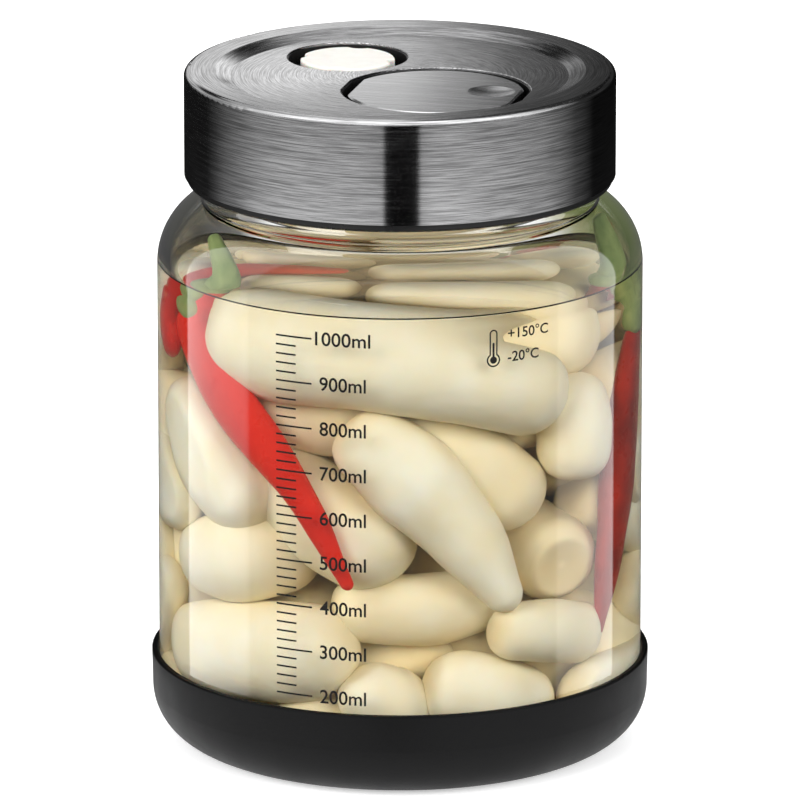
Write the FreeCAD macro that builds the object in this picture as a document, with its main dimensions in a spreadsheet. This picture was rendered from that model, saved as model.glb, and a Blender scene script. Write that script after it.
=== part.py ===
import FreeCAD, Part
import math
import operator
import os
import Sketcher

# Glass storage jar with a screw lid, filled with pickling brine and standing in a silicone sleeve.
# Millimetres, +Z up, origin at the middle of the sleeve's underside. -Y is the front.

DIMENSIONS = [
    ("overall_height", 163.0, "underside of the sleeve to the top of the lid's rim"),
    # glass
    ("body_radius", 57.5, "outside of the glass body"),
    ("glass_wall", 3.0, "thickness of body, shoulder and neck"),
    ("glass_base", 4.0, "thickness of the bottom"),
    ("base_corner", 11.0, "outside radius between the bottom and the wall"),
    ("shoulder_drop", 42.0, "from the mouth down to where the straight wall ends"),
    ("shoulder_radius", 17.0, "outside radius of the shoulder"),
    ("neck_fillet", 2.0, "radius between the shoulder and the neck"),
    ("mouth_bevel", 0.6, "bevel on the mouth's two edges"),
    ("brine_depth", 110.0, "depth of the brine above the glass bottom"),
    # sleeve
    ("sleeve_height", 21.6, "height of the silicone sleeve"),
    ("sleeve_floor", 2.0, "thickness under the glass"),
    ("sleeve_wall", 1.2, "wall at the bottom"),
    ("sleeve_rim_wall", 1.7, "wall at the rim, where the sleeve flares a little"),
    ("sleeve_gap", 0.1, "room between the sleeve and the glass"),
    ("sleeve_corner", 13.0, "outside radius at the bottom"),
    ("sleeve_rim_round", 0.5, "rounding of the rim"),
    # lid
    ("lid_radius", 51.0, "outside of the steel shell"),
    ("lid_height", 25.0, "height of the steel shell"),
    ("lid_sheet", 0.5, "thickness of the steel"),
    ("lid_edge", 1.5, "outside radius of the shell's top edge"),
    ("rim_width", 7.15, "flat rim round the dish"),
    ("dish_slope", 4.05, "width of the slope from the rim down to the dish floor"),
    ("dish_depth", 1.5, "depth of the dish below the rim"),
    ("cut_round", 0.2, "rounding of the shell's cut edges"),
    ("cap_plate", 2.5, "thickness of the liner over the mouth"),
    ("liner_gap", 0.1, "room between the liner and the shell"),
    ("skirt_wall", 3.0, "thickness of the liner's skirt"),
    ("skirt_band", 2.0, "length of skirt that shows below the shell"),
    ("skirt_round", 1.2, "rounding of the skirt's lower edge"),
    # screw thread
    ("thread_pitch", 6.0, "rise of the thread in one turn"),
    ("thread_depth", 1.4, "how far a thread ridge stands out"),
    ("thread_gap", 0.5, "room at the crest of each ridge"),
    ("thread_base", 2.4, "height of a ridge where it meets the wall"),
    ("thread_crest", 1.0, "height of a ridge at its crest"),
    ("thread_drop", 16.5, "from the mouth down to the start of the glass thread"),
    # vent valve
    ("valve_radius", 11.2, "silicone cap of the vent valve"),
    ("valve_room", 2.9, "gap round the cap in its well"),
    ("valve_sink", 0.2, "how far the cap sits below the dish floor"),
    ("valve_height", 5.1, "height of the cap"),
    ("valve_azimuth", 124.4, "direction of the valve from the lid's axis"),
    ("valve_turn", -13.0, "direction of the cap's first notch"),
    ("valve_margin", 3.4, "steel between the valve hole and the slope"),
    ("valve_notch", 3.2, "radius of a finger notch"),
    ("valve_notch_depth", 1.1, "how far a notch cuts into the cap"),
    ("valve_round", 0.7, "rounding of the cap's top edge"),
    # tipping flap
    ("lip", 0.3, "how far the liner shows inside a hole in the shell"),
    ("well_wall", 2.0, "wall of the valve well and of the flap pocket"),
    ("well_floor", 1.5, "bottom of the valve well and of the flap pocket"),
    ("web", 2.4, "steel between the valve hole and the flap's hole"),
    ("flap_azimuth", -60.5, "direction of the flap from the lid's axis"),
    ("flap_margin", 0.4, "steel between the flap's hole and the slope"),
    ("flap_turn", -13.6, "direction of the flap's pressing end"),
    ("flap_gap", 1.2, "gap round the curved sides of the flap"),
    ("flap_tip_gap", 2.0, "gap at the two flat ends of the flap"),
    ("flap_flat", 1.3, "how far each flat cuts into the flap's circle"),
    ("flap_sink", 0.3, "how far the flap sits below the dish floor"),
    ("flap_sheet", 1.2, "thickness of the flap's steel face"),
    ("flap_bevel", 0.4, "bevel round the steel face"),
    ("core_thickness", 1.6, "thickness of the flap's plastic core"),
    ("core_inset", 0.2, "how far the core stays inside the steel face"),
    ("barrel_radius", 2.2, "barrel under the core that the pin runs through"),
    ("barrel_inset", 0.8, "how far the barrel ends inside the flap's circle"),
    ("pin_radius", 1.0, "steel pin that the flap tips on"),
    ("pin_gap", 0.05, "running clearance round the pin"),
    ("pin_seat", 1.2, "how far each end of the pin goes into the pocket wall"),
    ("tilt_limit", 30.0, "how far the flap tips, in degrees"),
    ("tilt_gap", 0.4, "room under the flap when it is tipped"),
    ("dimple_inset", 6.9, "from the flap's flat to the middle of the finger dimple"),
    ("dimple_shift", 3.1, "how far the dimple lies to the back of the flap's middle"),
    ("dimple_radius", 5.5, "radius of the finger dimple"),
    ("dimple_depth", 0.8, "depth of the finger dimple"),
    ("dimple_round", 1.5, "rounding of the dimple's edge"),
]

OPERATIONS = {
    "+": operator.add,
    "-": operator.sub,
    "*": operator.mul,
    "/": operator.truediv,
}

CUT_RUN = 1.0     # how far a cutting profile runs past the face that it opens
NOTCHES = 4       # finger notches round the valve cap
NEAR = 1e-4       # tolerance for finding an edge by its place

doc = FreeCAD.newDocument("storage_jar")
sheet = doc.addObject("Spreadsheet::Sheet", "sizes")


class Size:
    """A number worked out from the sheet, kept with the expression that works it out."""

    def __init__(self, value, text):
        self.value = value
        self.text = text

    def __add__(self, other):
        return combined(self, "+", other)

    def __sub__(self, other):
        return combined(self, "-", other)

    def __mul__(self, other):
        return combined(self, "*", other)

    def __truediv__(self, other):
        return combined(self, "/", other)

    def __neg__(self):
        return combined(0, "-", self)


def as_size(number):
    if isinstance(number, Size):
        return number
    return Size(number, str(number))


def combined(first, sign, second):
    first = as_size(first)
    second = as_size(second)
    value = OPERATIONS[sign](first.value, second.value)
    return Size(value, f"({first.text} {sign} {second.text})")


def sine(angle):
    return Size(math.sin(math.radians(angle.value)), f"sin({angle.text})")


def cosine(angle):
    return Size(math.cos(math.radians(angle.value)), f"cos({angle.text})")


class Dimensions:
    """The sheet's cells by name, each as a Size."""

    def __init__(self, rows):
        for row, (name, value, note) in enumerate(rows, start=1):
            sheet.set(f"A{row}", name)
            sheet.set(f"B{row}", str(value))
            sheet.set(f"C{row}", note)
            sheet.setAlias(f"B{row}", name)
            setattr(self, name, Size(value, f"sizes.{name}"))


dim = Dimensions(DIMENSIONS)
doc.recompute()

# Heights, from the floor up.
dish_floor = dim.overall_height - dim.dish_depth
liner_top = dish_floor - dim.lid_sheet
mouth = liner_top - dim.cap_plate
shoulder_start = mouth - dim.shoulder_drop
glass_floor = dim.sleeve_floor + dim.glass_base
brine_level = glass_floor + dim.brine_depth
shell_bottom = dim.overall_height - dim.lid_height
skirt_bottom = shell_bottom - dim.skirt_band
flap_top = dish_floor - dim.flap_sink
core_top = flap_top - dim.flap_sheet
pin_height = core_top - dim.barrel_radius
valve_floor = dish_floor - dim.valve_sink - dim.valve_height

# Radii of the lid, from the outside in.
skirt_radius = dim.lid_radius - dim.lid_sheet - dim.liner_gap
skirt_bore = skirt_radius - dim.skirt_wall
neck_radius = skirt_bore - dim.thread_gap - dim.thread_depth
rim_inner = dim.lid_radius - dim.rim_width
dish_radius = rim_inner - dim.dish_slope

# The valve hole and the flap's hole share the dish, end to end along its diameter.
well_radius = dim.valve_radius + dim.valve_room
valve_reach = dish_radius - dim.valve_margin - well_radius - dim.lip
flap_room = dish_radius - dim.flap_margin + dish_radius - dim.valve_margin
flap_room = flap_room - dim.web - (well_radius + dim.lip) * 2
pocket_radius = flap_room / 2 - dim.lip
flap_reach = dish_radius - dim.flap_margin - dim.lip - pocket_radius
flap_radius = pocket_radius - dim.flap_gap
flap_half = flap_radius - dim.flap_flat
pocket_half = flap_half + dim.flap_tip_gap
pocket_floor = pin_height - flap_half * sine(dim.tilt_limit) - dim.tilt_gap
pin_half = pocket_radius + dim.pin_seat

valve_x = valve_reach * cosine(dim.valve_azimuth)
valve_y = valve_reach * sine(dim.valve_azimuth)
flap_x = flap_reach * cosine(dim.flap_azimuth)
flap_y = flap_reach * sine(dim.flap_azimuth)


def new_body(label, x=None, y=None, z=None, turn=None):
    """A body whose place and turn about Z are bound to the sheet."""
    body = doc.addObject("PartDesign::Body", label)
    body.Label = label
    if turn is not None:
        body.Placement = FreeCAD.Placement(
            FreeCAD.Vector(x.value, y.value, z.value),
            FreeCAD.Rotation(FreeCAD.Vector(0, 0, 1), turn.value))
        body.setExpression("Placement.Base.x", x.text)
        body.setExpression("Placement.Base.y", y.text)
        body.setExpression("Placement.Base.z", z.text)
        body.setExpression("Placement.Rotation.Angle", turn.text)
    return body


def origin_feature(body, role):
    return next(item for item in body.Origin.OriginFeatures if item.Role == role)


def new_sketch(body, name, plane):
    sketch = body.newObject("Sketcher::SketchObject", name)
    sketch.AttachmentSupport = (origin_feature(body, plane), [""])
    sketch.MapMode = "FlatFace"
    return sketch


def shift_sketch(sketch, x, y, z, axis, turn):
    """Moves a sketch off its plane: x, y and z are along the plane's own axes."""
    sketch.AttachmentOffset = FreeCAD.Placement(
        FreeCAD.Vector(x.value, y.value, z.value),
        FreeCAD.Rotation(axis, turn.value))
    sketch.setExpression("AttachmentOffset.Base.x", x.text)
    sketch.setExpression("AttachmentOffset.Base.y", y.text)
    sketch.setExpression("AttachmentOffset.Base.z", z.text)
    sketch.setExpression("AttachmentOffset.Rotation.Angle", turn.text)


def raise_sketch(sketch, height):
    sketch.AttachmentOffset = FreeCAD.Placement(
        FreeCAD.Vector(0, 0, height.value), FreeCAD.Rotation())
    sketch.setExpression("AttachmentOffset.Base.z", height.text)


def constrain(sketch, size, kind, *where):
    """Adds a dimension to a sketch and binds it to the sheet."""
    index = sketch.addConstraint(Sketcher.Constraint(kind, *where, size.value))
    sketch.setExpression(f"Constraints[{index}]", size.text)


def fix_point(sketch, line, end, x, y):
    """Holds one point of a sketch at x, y; a coordinate of 0 puts it on the axis."""
    if x == 0:
        sketch.addConstraint(Sketcher.Constraint("PointOnObject", line, end, -2))
    else:
        constrain(sketch, x, "DistanceX", -1, 1, line, end)
    if y == 0:
        sketch.addConstraint(Sketcher.Constraint("PointOnObject", line, end, -1))
    else:
        constrain(sketch, y, "DistanceY", -1, 1, line, end)


def flat_point(x, y):
    return FreeCAD.Vector(as_size(x).value, as_size(y).value, 0)


def polygon(sketch, corners):
    """A closed outline of straight lines through the corners."""
    count = len(corners)
    for index, corner in enumerate(corners):
        start = flat_point(*corner)
        end = flat_point(*corners[(index + 1) % count])
        sketch.addGeometry(Part.LineSegment(start, end))
    for index, corner in enumerate(corners):
        following = (index + 1) % count
        sketch.addConstraint(Sketcher.Constraint("Coincident", index, 2, following, 1))
        fix_point(sketch, index, 1, *corner)


def circle(sketch, x, y, radius):
    round_line = Part.Circle(flat_point(x, y), FreeCAD.Vector(0, 0, 1), radius.value)
    index = sketch.addGeometry(round_line)
    fix_point(sketch, index, 3, x, y)
    constrain(sketch, radius, "Radius", index)


def circle_arc(centre, radius, start, end):
    """An arc anticlockwise from one angle to another, in radians."""
    whole = Part.Circle(centre, FreeCAD.Vector(0, 0, 1), radius)
    return Part.ArcOfCircle(whole, start, end)


def double_d(sketch, radius, half):
    """A circle with a flat at each end of its x axis."""
    corner_angle = math.acos(half.value / radius.value)
    height = radius.value * math.sin(corner_angle)
    middle = FreeCAD.Vector(0, 0, 0)
    right_low = FreeCAD.Vector(half.value, -height, 0)
    right_high = FreeCAD.Vector(half.value, height, 0)
    left_low = FreeCAD.Vector(-half.value, -height, 0)
    left_high = FreeCAD.Vector(-half.value, height, 0)
    sketch.addGeometry(Part.LineSegment(right_low, right_high))
    sketch.addGeometry(circle_arc(middle, radius.value, corner_angle, math.pi - corner_angle))
    sketch.addGeometry(Part.LineSegment(left_high, left_low))
    sketch.addGeometry(circle_arc(middle, radius.value, math.pi + corner_angle,
                                  2 * math.pi - corner_angle))
    for index in range(4):
        following = (index + 1) % 4
        sketch.addConstraint(Sketcher.Constraint("Coincident", index, 2, following, 1))
    for arc in (1, 3):
        sketch.addConstraint(Sketcher.Constraint("Coincident", arc, 3, -1, 1))
    sketch.addConstraint(Sketcher.Constraint("Vertical", 0))
    sketch.addConstraint(Sketcher.Constraint("Vertical", 2))
    sketch.addConstraint(Sketcher.Constraint("Equal", 1, 3))
    constrain(sketch, radius, "Radius", 1)
    constrain(sketch, half, "DistanceX", -1, 1, 0, 1)
    constrain(sketch, -half, "DistanceX", -1, 1, 2, 1)


def vessel(sketch, inset, floor, top):
    """Half the outline of the glass, or with an inset that of the space inside it.

    Bottom, rounded corner, straight wall, shoulder, fillet and neck run into each other
    smoothly. The shoulder and the fillet touch on the line through their centres.
    """
    wall_x = dim.body_radius - inset
    corner = dim.base_corner - inset
    shoulder = dim.shoulder_radius - inset
    fillet = dim.neck_fillet + inset
    neck_x = neck_radius - inset

    shoulder_centre = flat_point(dim.body_radius - dim.shoulder_radius, shoulder_start)
    across = (neck_radius + dim.neck_fillet).value - shoulder_centre.x
    rise = math.sqrt((shoulder + fillet).value ** 2 - across ** 2)
    fillet_centre = shoulder_centre + FreeCAD.Vector(across, rise, 0)
    lean = math.atan2(rise, across)
    meeting = shoulder_centre + FreeCAD.Vector(math.cos(lean), math.sin(lean), 0) * shoulder.value

    corner_centre = flat_point(wall_x - corner, floor + corner)
    sketch.addGeometry(Part.LineSegment(flat_point(0, floor), flat_point(wall_x - corner, floor)))
    sketch.addGeometry(circle_arc(corner_centre, corner.value, -math.pi / 2, 0))
    sketch.addGeometry(Part.LineSegment(flat_point(wall_x, floor + corner),
                                        flat_point(wall_x, shoulder_start)))
    sketch.addGeometry(circle_arc(shoulder_centre, shoulder.value, 0, lean))
    sketch.addGeometry(circle_arc(fillet_centre, fillet.value, math.pi, math.pi + lean))
    neck_start = FreeCAD.Vector(neck_x.value, fillet_centre.y, 0)
    sketch.addGeometry(Part.LineSegment(neck_start, flat_point(neck_x, top)))
    sketch.addGeometry(Part.LineSegment(flat_point(neck_x, top), flat_point(0, top)))
    sketch.addGeometry(Part.LineSegment(flat_point(0, top), flat_point(0, floor)))

    bottom, bend, wall, turn, cove, neck, lid, axis = range(8)
    for smooth in ((bottom, 2, bend, 1), (bend, 2, wall, 1), (wall, 2, turn, 1),
                   (turn, 2, cove, 2), (cove, 1, neck, 1)):
        sketch.addConstraint(Sketcher.Constraint("Tangent", *smooth))
    for sharp in ((neck, 2, lid, 1), (lid, 2, axis, 1), (axis, 2, bottom, 1)):
        sketch.addConstraint(Sketcher.Constraint("Coincident", *sharp))
    sketch.addConstraint(Sketcher.Constraint("PointOnObject", bottom, 1, -2))
    sketch.addConstraint(Sketcher.Constraint("PointOnObject", lid, 2, -2))
    sketch.addConstraint(Sketcher.Constraint("Horizontal", bottom))
    sketch.addConstraint(Sketcher.Constraint("Horizontal", lid))
    sketch.addConstraint(Sketcher.Constraint("Vertical", wall))
    sketch.addConstraint(Sketcher.Constraint("Vertical", neck))
    constrain(sketch, floor, "DistanceY", -1, 1, bottom, 1)
    constrain(sketch, top, "DistanceY", -1, 1, lid, 2)
    constrain(sketch, wall_x, "DistanceX", -1, 1, wall, 1)
    constrain(sketch, neck_x, "DistanceX", -1, 1, neck, 2)
    constrain(sketch, shoulder_start, "DistanceY", -1, 1, wall, 2)
    constrain(sketch, corner, "Radius", bend)
    constrain(sketch, shoulder, "Radius", turn)
    constrain(sketch, fillet, "Radius", cove)
    if meeting.distanceToPoint(sketch.getPoint(turn, 2)) > NEAR:
        raise RuntimeError(f"{sketch.Name}: the shoulder doesn't run into the neck")


def turned(body, kind, name, sketch):
    """A Revolution or Groove of the sketch right round the body's Z axis."""
    feature = body.newObject(f"PartDesign::{kind}", name)
    feature.Profile = sketch
    feature.ReferenceAxis = (origin_feature(body, "Z_Axis"), [""])
    feature.Angle = 360
    doc.recompute()
    return feature


def extruded(body, kind, name, sketch, length, down=False, midplane=False):
    """A Pad or Pocket of the sketch, up unless down is set."""
    feature = body.newObject(f"PartDesign::{kind}", name)
    feature.Profile = sketch
    feature.Length = length.value
    feature.setExpression("Length", length.text)
    if midplane:
        feature.SideType = "Symmetric"
    cuts_down = kind == "Pocket"
    feature.Reversed = down != cuts_down
    doc.recompute()
    return feature


def thread_ridge(body, name, root, crest, start):
    """One turn of screw thread whose first section is centred at the height given."""
    sketch = new_sketch(body, f"{name}_section", "XZ_Plane")
    half_base = dim.thread_base / 2
    half_crest = dim.thread_crest / 2
    polygon(sketch, [
        (root, start - half_base),
        (crest, start - half_crest),
        (crest, start + half_crest),
        (root, start + half_base),
    ])
    ridge = body.newObject("PartDesign::AdditiveHelix", name)
    ridge.Profile = sketch
    ridge.ReferenceAxis = (origin_feature(body, "Z_Axis"), [""])
    ridge.Mode = "pitch-height-angle"
    ridge.Pitch = dim.thread_pitch.value
    ridge.Height = dim.thread_pitch.value
    ridge.setExpression("Pitch", dim.thread_pitch.text)
    ridge.setExpression("Height", dim.thread_pitch.text)
    doc.recompute()
    return ridge


def ring_edges(feature, radius, height):
    """Names of the round edges about Z with this radius at this height."""
    names = []
    for number, edge in enumerate(feature.Shape.Edges, start=1):
        if not isinstance(edge.Curve, Part.Circle):
            continue
        low = edge.BoundBox.ZMin
        flat = edge.BoundBox.ZLength < NEAR
        right_size = abs(edge.Curve.Radius - radius.value) < NEAR
        if flat and right_size and abs(low - height.value) < NEAR:
            names.append(f"Edge{number}")
    return names


def level_edges(feature, height, centre, inside):
    """Names of the edges at a height that lie within a distance of a centre."""
    names = []
    for number, edge in enumerate(feature.Shape.Edges, start=1):
        box = edge.BoundBox
        if box.ZLength > NEAR or abs(box.ZMin - height.value) > NEAR:
            continue
        distances = [math.hypot(point.x - centre[0], point.y - centre[1])
                     for point in edge.discretize(5)]
        if max(distances) < inside:
            names.append(f"Edge{number}")
    return names


def dressed(body, kind, name, base, edges, size):
    """A Fillet or Chamfer of the edges named."""
    if not edges:
        raise RuntimeError(f"{name}: no edge found")
    feature = body.newObject(f"PartDesign::{kind}", name)
    feature.Base = (base, edges)
    setting = {"Fillet": "Radius", "Chamfer": "Size"}[kind]
    setattr(feature, setting, size.value)
    feature.setExpression(setting, size.text)
    doc.recompute()
    return feature


def make_base_sleeve():
    """Black silicone sleeve that the jar stands in."""
    body = new_body("base_sleeve")
    bore = dim.body_radius + dim.sleeve_gap
    outside = bore + dim.sleeve_wall
    rim = bore + dim.sleeve_rim_wall
    sketch = new_sketch(body, "sleeve_outline", "XZ_Plane")
    polygon(sketch, [
        (0, 0),
        (outside, 0),
        (rim, dim.sleeve_height),
        (bore, dim.sleeve_height),
        (bore, dim.sleeve_floor),
        (0, dim.sleeve_floor),
    ])
    cup = turned(body, "Revolution", "sleeve_cup", sketch)
    cup = dressed(body, "Fillet", "sleeve_outer_corner", cup,
                  ring_edges(cup, outside, as_size(0.0)), dim.sleeve_corner)
    cup = dressed(body, "Fillet", "sleeve_inner_corner", cup,
                  ring_edges(cup, bore, dim.sleeve_floor), dim.base_corner)
    edges = ring_edges(cup, rim, dim.sleeve_height) + ring_edges(cup, bore, dim.sleeve_height)
    dressed(body, "Fillet", "sleeve_rim", cup, edges, dim.sleeve_rim_round)
    return body


def make_glass_jar():
    """Blown glass body with a rounded shoulder, a neck and a screw thread."""
    body = new_body("glass_jar")
    outside = new_sketch(body, "jar_outside", "XZ_Plane")
    vessel(outside, as_size(0.0), dim.sleeve_floor, mouth)
    blank = turned(body, "Revolution", "jar_blank", outside)
    inside = new_sketch(body, "jar_inside", "XZ_Plane")
    vessel(inside, dim.glass_wall, glass_floor, mouth + CUT_RUN)
    jar = turned(body, "Groove", "jar_hollow", inside)
    if jar.Shape.Volume > blank.Shape.Volume / 2:
        raise RuntimeError("the jar isn't hollow")
    edges = ring_edges(jar, neck_radius, mouth)
    edges = edges + ring_edges(jar, neck_radius - dim.glass_wall, mouth)
    dressed(body, "Chamfer", "mouth_edges", jar, edges, dim.mouth_bevel)
    root = neck_radius - dim.glass_wall / 4
    crest = neck_radius + dim.thread_depth
    thread_ridge(body, "jar_thread", root, crest, mouth - dim.thread_drop)
    return body


def make_brine():
    """Brine that fills the glass to its level."""
    body = new_body("brine")
    inside = new_sketch(body, "brine_outline", "XZ_Plane")
    vessel(inside, dim.glass_wall, glass_floor, mouth)
    turned(body, "Revolution", "brine_fill", inside)
    above = new_sketch(body, "brine_surface", "XZ_Plane")
    polygon(above, [
        (0, brine_level),
        (dim.body_radius, brine_level),
        (dim.body_radius, mouth + CUT_RUN),
        (0, mouth + CUT_RUN),
    ])
    turned(body, "Groove", "brine_headspace", above)
    return body


def cut_flap_hole(body, name, height, radius, half, depth, kind="Pocket"):
    """Cuts or adds the flap's two-flatted outline, downwards from a height."""
    sketch = new_sketch(body, f"{name}_outline", "XY_Plane")
    shift_sketch(sketch, flap_x, flap_y, height, FreeCAD.Vector(0, 0, 1), dim.flap_turn)
    double_d(sketch, radius, half)
    return extruded(body, kind, name, sketch, depth, down=True)


def cut_valve_hole(body, name, height, radius, depth, kind="Pocket"):
    """Cuts or adds a round for the valve, downwards from a height."""
    sketch = new_sketch(body, f"{name}_outline", "XY_Plane")
    raise_sketch(sketch, height)
    circle(sketch, valve_x, valve_y, radius)
    return extruded(body, kind, name, sketch, depth, down=True)


def make_lid_shell():
    """Brushed steel shell of the lid: straight side, flat rim and shallow dish."""
    body = new_body("lid_shell")
    inside = dim.lid_radius - dim.lid_sheet
    under_rim = dim.overall_height - dim.lid_sheet
    sketch = new_sketch(body, "shell_outline", "XZ_Plane")
    polygon(sketch, [
        (0, dish_floor),
        (dish_radius, dish_floor),
        (rim_inner, dim.overall_height),
        (dim.lid_radius, dim.overall_height),
        (dim.lid_radius, shell_bottom),
        (inside, shell_bottom),
        (inside, under_rim),
        (rim_inner, under_rim),
        (dish_radius, liner_top),
        (0, liner_top),
    ])
    shell = turned(body, "Revolution", "shell_sheet", sketch)
    shell = dressed(body, "Fillet", "shell_edge", shell,
                    ring_edges(shell, dim.lid_radius, dim.overall_height), dim.lid_edge)
    shell = dressed(body, "Fillet", "shell_edge_inside", shell,
                    ring_edges(shell, inside, under_rim), dim.lid_edge - dim.lid_sheet)
    hole = well_radius + dim.lip
    through = dim.lid_sheet + CUT_RUN
    shell = cut_valve_hole(body, "shell_valve_hole", dish_floor, hole, through)
    shell = cut_flap_hole(body, "shell_flap_hole", dish_floor, pocket_radius + dim.lip,
                          pocket_half + dim.lip, through)
    near_valve = (hole + dim.web / 2).value
    near_flap = (pocket_radius + dim.lip + dim.flap_margin / 2).value
    edges = level_edges(shell, dish_floor, (valve_x.value, valve_y.value), near_valve)
    edges = edges + level_edges(shell, dish_floor, (flap_x.value, flap_y.value), near_flap)
    dressed(body, "Fillet", "shell_cut_edges", shell, edges, dim.cut_round)
    return body


def make_lid_liner():
    """Black plastic liner: screw skirt, plate over the mouth, valve well and flap pocket."""
    body = new_body("lid_liner")
    under_rim = dim.overall_height - dim.lid_sheet
    sketch = new_sketch(body, "liner_outline", "XZ_Plane")
    polygon(sketch, [
        (0, mouth),
        (skirt_bore, mouth),
        (skirt_bore, skirt_bottom),
        (skirt_radius, skirt_bottom),
        (skirt_radius, under_rim),
        (rim_inner, under_rim),
        (dish_radius, liner_top),
        (0, liner_top),
    ])
    liner = turned(body, "Revolution", "liner_blank", sketch)
    liner = dressed(body, "Fillet", "liner_top_edge", liner,
                    ring_edges(liner, skirt_radius, under_rim), dim.lid_edge)
    liner = dressed(body, "Fillet", "liner_lower_edge", liner,
                    ring_edges(liner, skirt_radius, skirt_bottom), dim.skirt_round)
    well_depth = liner_top - valve_floor
    pocket_depth = liner_top - pocket_floor
    cut_valve_hole(body, "valve_well_outside", liner_top, well_radius + dim.well_wall,
                   well_depth + dim.well_floor, kind="Pad")
    liner = cut_flap_hole(body, "flap_pocket_outside", liner_top, pocket_radius + dim.well_wall,
                          pocket_half + dim.well_wall, pocket_depth + dim.well_floor, kind="Pad")
    whole = liner.Shape.Volume
    cut_valve_hole(body, "valve_well", liner_top, well_radius, well_depth)
    liner = cut_flap_hole(body, "flap_pocket", liner_top, pocket_radius, pocket_half, pocket_depth)
    if liner.Shape.Volume > whole - pocket_half.value ** 2 * pocket_depth.value:
        raise RuntimeError("the flap pocket isn't open")

    # The pin's two seats are one round hole through both walls of the pocket. On the XZ
    # plane the sketch's own axes are X, Z and -Y.
    seats = new_sketch(body, "pin_seats_outline", "XZ_Plane")
    shift_sketch(seats, flap_x, pin_height, -flap_y, FreeCAD.Vector(0, 1, 0), dim.flap_turn)
    circle(seats, 0, 0, dim.pin_radius + dim.pin_gap)
    extruded(body, "Pocket", "pin_seats", seats, pin_half * 2, midplane=True)

    # The ridge climbs half a pitch below the one on the glass.
    root = skirt_bore + dim.skirt_wall / 4
    crest = skirt_bore - dim.thread_depth
    start = mouth - dim.thread_drop - dim.thread_pitch / 2
    thread_ridge(body, "liner_thread", root, crest, start)
    return body


def make_valve_cap():
    """White silicone cap of the vent valve, with finger notches round its edge."""
    body = new_body("valve_cap", valve_x, valve_y, valve_floor, dim.valve_turn)
    sketch = new_sketch(body, "valve_outline", "XY_Plane")
    circle(sketch, 0, 0, dim.valve_radius)
    disc = extruded(body, "Pad", "valve_disc", sketch, dim.valve_height)
    notch = new_sketch(body, "valve_notch_outline", "XY_Plane")
    raise_sketch(notch, dim.valve_height)
    circle(notch, dim.valve_radius - dim.valve_notch_depth + dim.valve_notch, 0, dim.valve_notch)
    cut = extruded(body, "Pocket", "valve_notch_cut", notch, dim.valve_height + CUT_RUN, down=True)
    if cut.Shape.Volume > disc.Shape.Volume - NEAR:
        raise RuntimeError("the valve cap has no notch")
    ring = body.newObject("PartDesign::PolarPattern", "valve_notches")
    ring.Originals = [cut]
    ring.Axis = (origin_feature(body, "Z_Axis"), [""])
    ring.Angle = 360
    ring.Occurrences = NOTCHES
    body.Tip = ring
    doc.recompute()
    top = level_edges(ring, dim.valve_height, (0, 0), dim.valve_radius.value + NEAR)
    dressed(body, "Fillet", "valve_top_edge", ring, top, dim.valve_round)
    return body


def make_flap_plate():
    """Steel face of the tipping flap, with a finger dimple near its right end."""
    body = new_body("flap_plate", flap_x, flap_y, pin_height, dim.flap_turn)
    base = core_top - pin_height
    top = flap_top - pin_height
    sketch = new_sketch(body, "plate_outline", "XY_Plane")
    raise_sketch(sketch, base)
    double_d(sketch, flap_radius, flap_half)
    plate = extruded(body, "Pad", "plate_sheet", sketch, dim.flap_sheet)
    edges = level_edges(plate, top, (0, 0), flap_radius.value + NEAR)
    plate = dressed(body, "Chamfer", "plate_bevel", plate, edges, dim.flap_bevel)

    # The dimple is a cap of a ball whose size follows from the dimple's width and depth.
    ball_radius = (dim.dimple_radius * dim.dimple_radius / dim.dimple_depth
                   + dim.dimple_depth) / 2
    dimple_x = flap_half - dim.dimple_inset
    ball_height = top - dim.dimple_depth + ball_radius
    ball = body.newObject("PartDesign::SubtractiveSphere", "finger_dimple")
    ball.AttachmentSupport = (origin_feature(body, "XY_Plane"), [""])
    ball.MapMode = "FlatFace"
    shift_sketch(ball, dimple_x, dim.dimple_shift, ball_height, FreeCAD.Vector(0, 0, 1),
                 as_size(0.0))
    ball.Radius = ball_radius.value
    ball.setExpression("Radius", ball_radius.text)
    doc.recompute()
    if ball.Shape.Volume > plate.Shape.Volume - NEAR:
        raise RuntimeError("the flap has no dimple")
    rim = level_edges(ball, top, (dimple_x.value, dim.dimple_shift.value),
                      dim.dimple_radius.value + NEAR)
    dressed(body, "Fillet", "dimple_edge", ball, rim, dim.dimple_round)
    return body


def make_flap_core():
    """Plastic core under the flap's steel face, with the barrel that runs on the pin."""
    body = new_body("flap_core", flap_x, flap_y, pin_height, dim.flap_turn)
    sketch = new_sketch(body, "core_outline", "XY_Plane")
    raise_sketch(sketch, core_top - pin_height - dim.core_thickness)
    double_d(sketch, flap_radius - dim.core_inset, flap_half - dim.core_inset)
    extruded(body, "Pad", "core_pad", sketch, dim.core_thickness)
    barrel = new_sketch(body, "barrel_outline", "XZ_Plane")
    circle(barrel, 0, 0, dim.barrel_radius)
    barrel_length = (flap_radius - dim.barrel_inset) * 2
    extruded(body, "Pad", "core_barrel", barrel, barrel_length, midplane=True)
    bore = new_sketch(body, "bore_outline", "XZ_Plane")
    circle(bore, 0, 0, dim.pin_radius + dim.pin_gap)
    extruded(body, "Pocket", "core_bore", bore, flap_radius * 2 + CUT_RUN, midplane=True)
    return body


def make_flap_pin():
    """Steel pin across the pocket, seated in both of its walls."""
    body = new_body("flap_pin", flap_x, flap_y, pin_height, dim.flap_turn)
    sketch = new_sketch(body, "pin_outline", "XZ_Plane")
    circle(sketch, 0, 0, dim.pin_radius)
    extruded(body, "Pad", "pin_rod", sketch, pin_half * 2, midplane=True)
    return body


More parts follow.
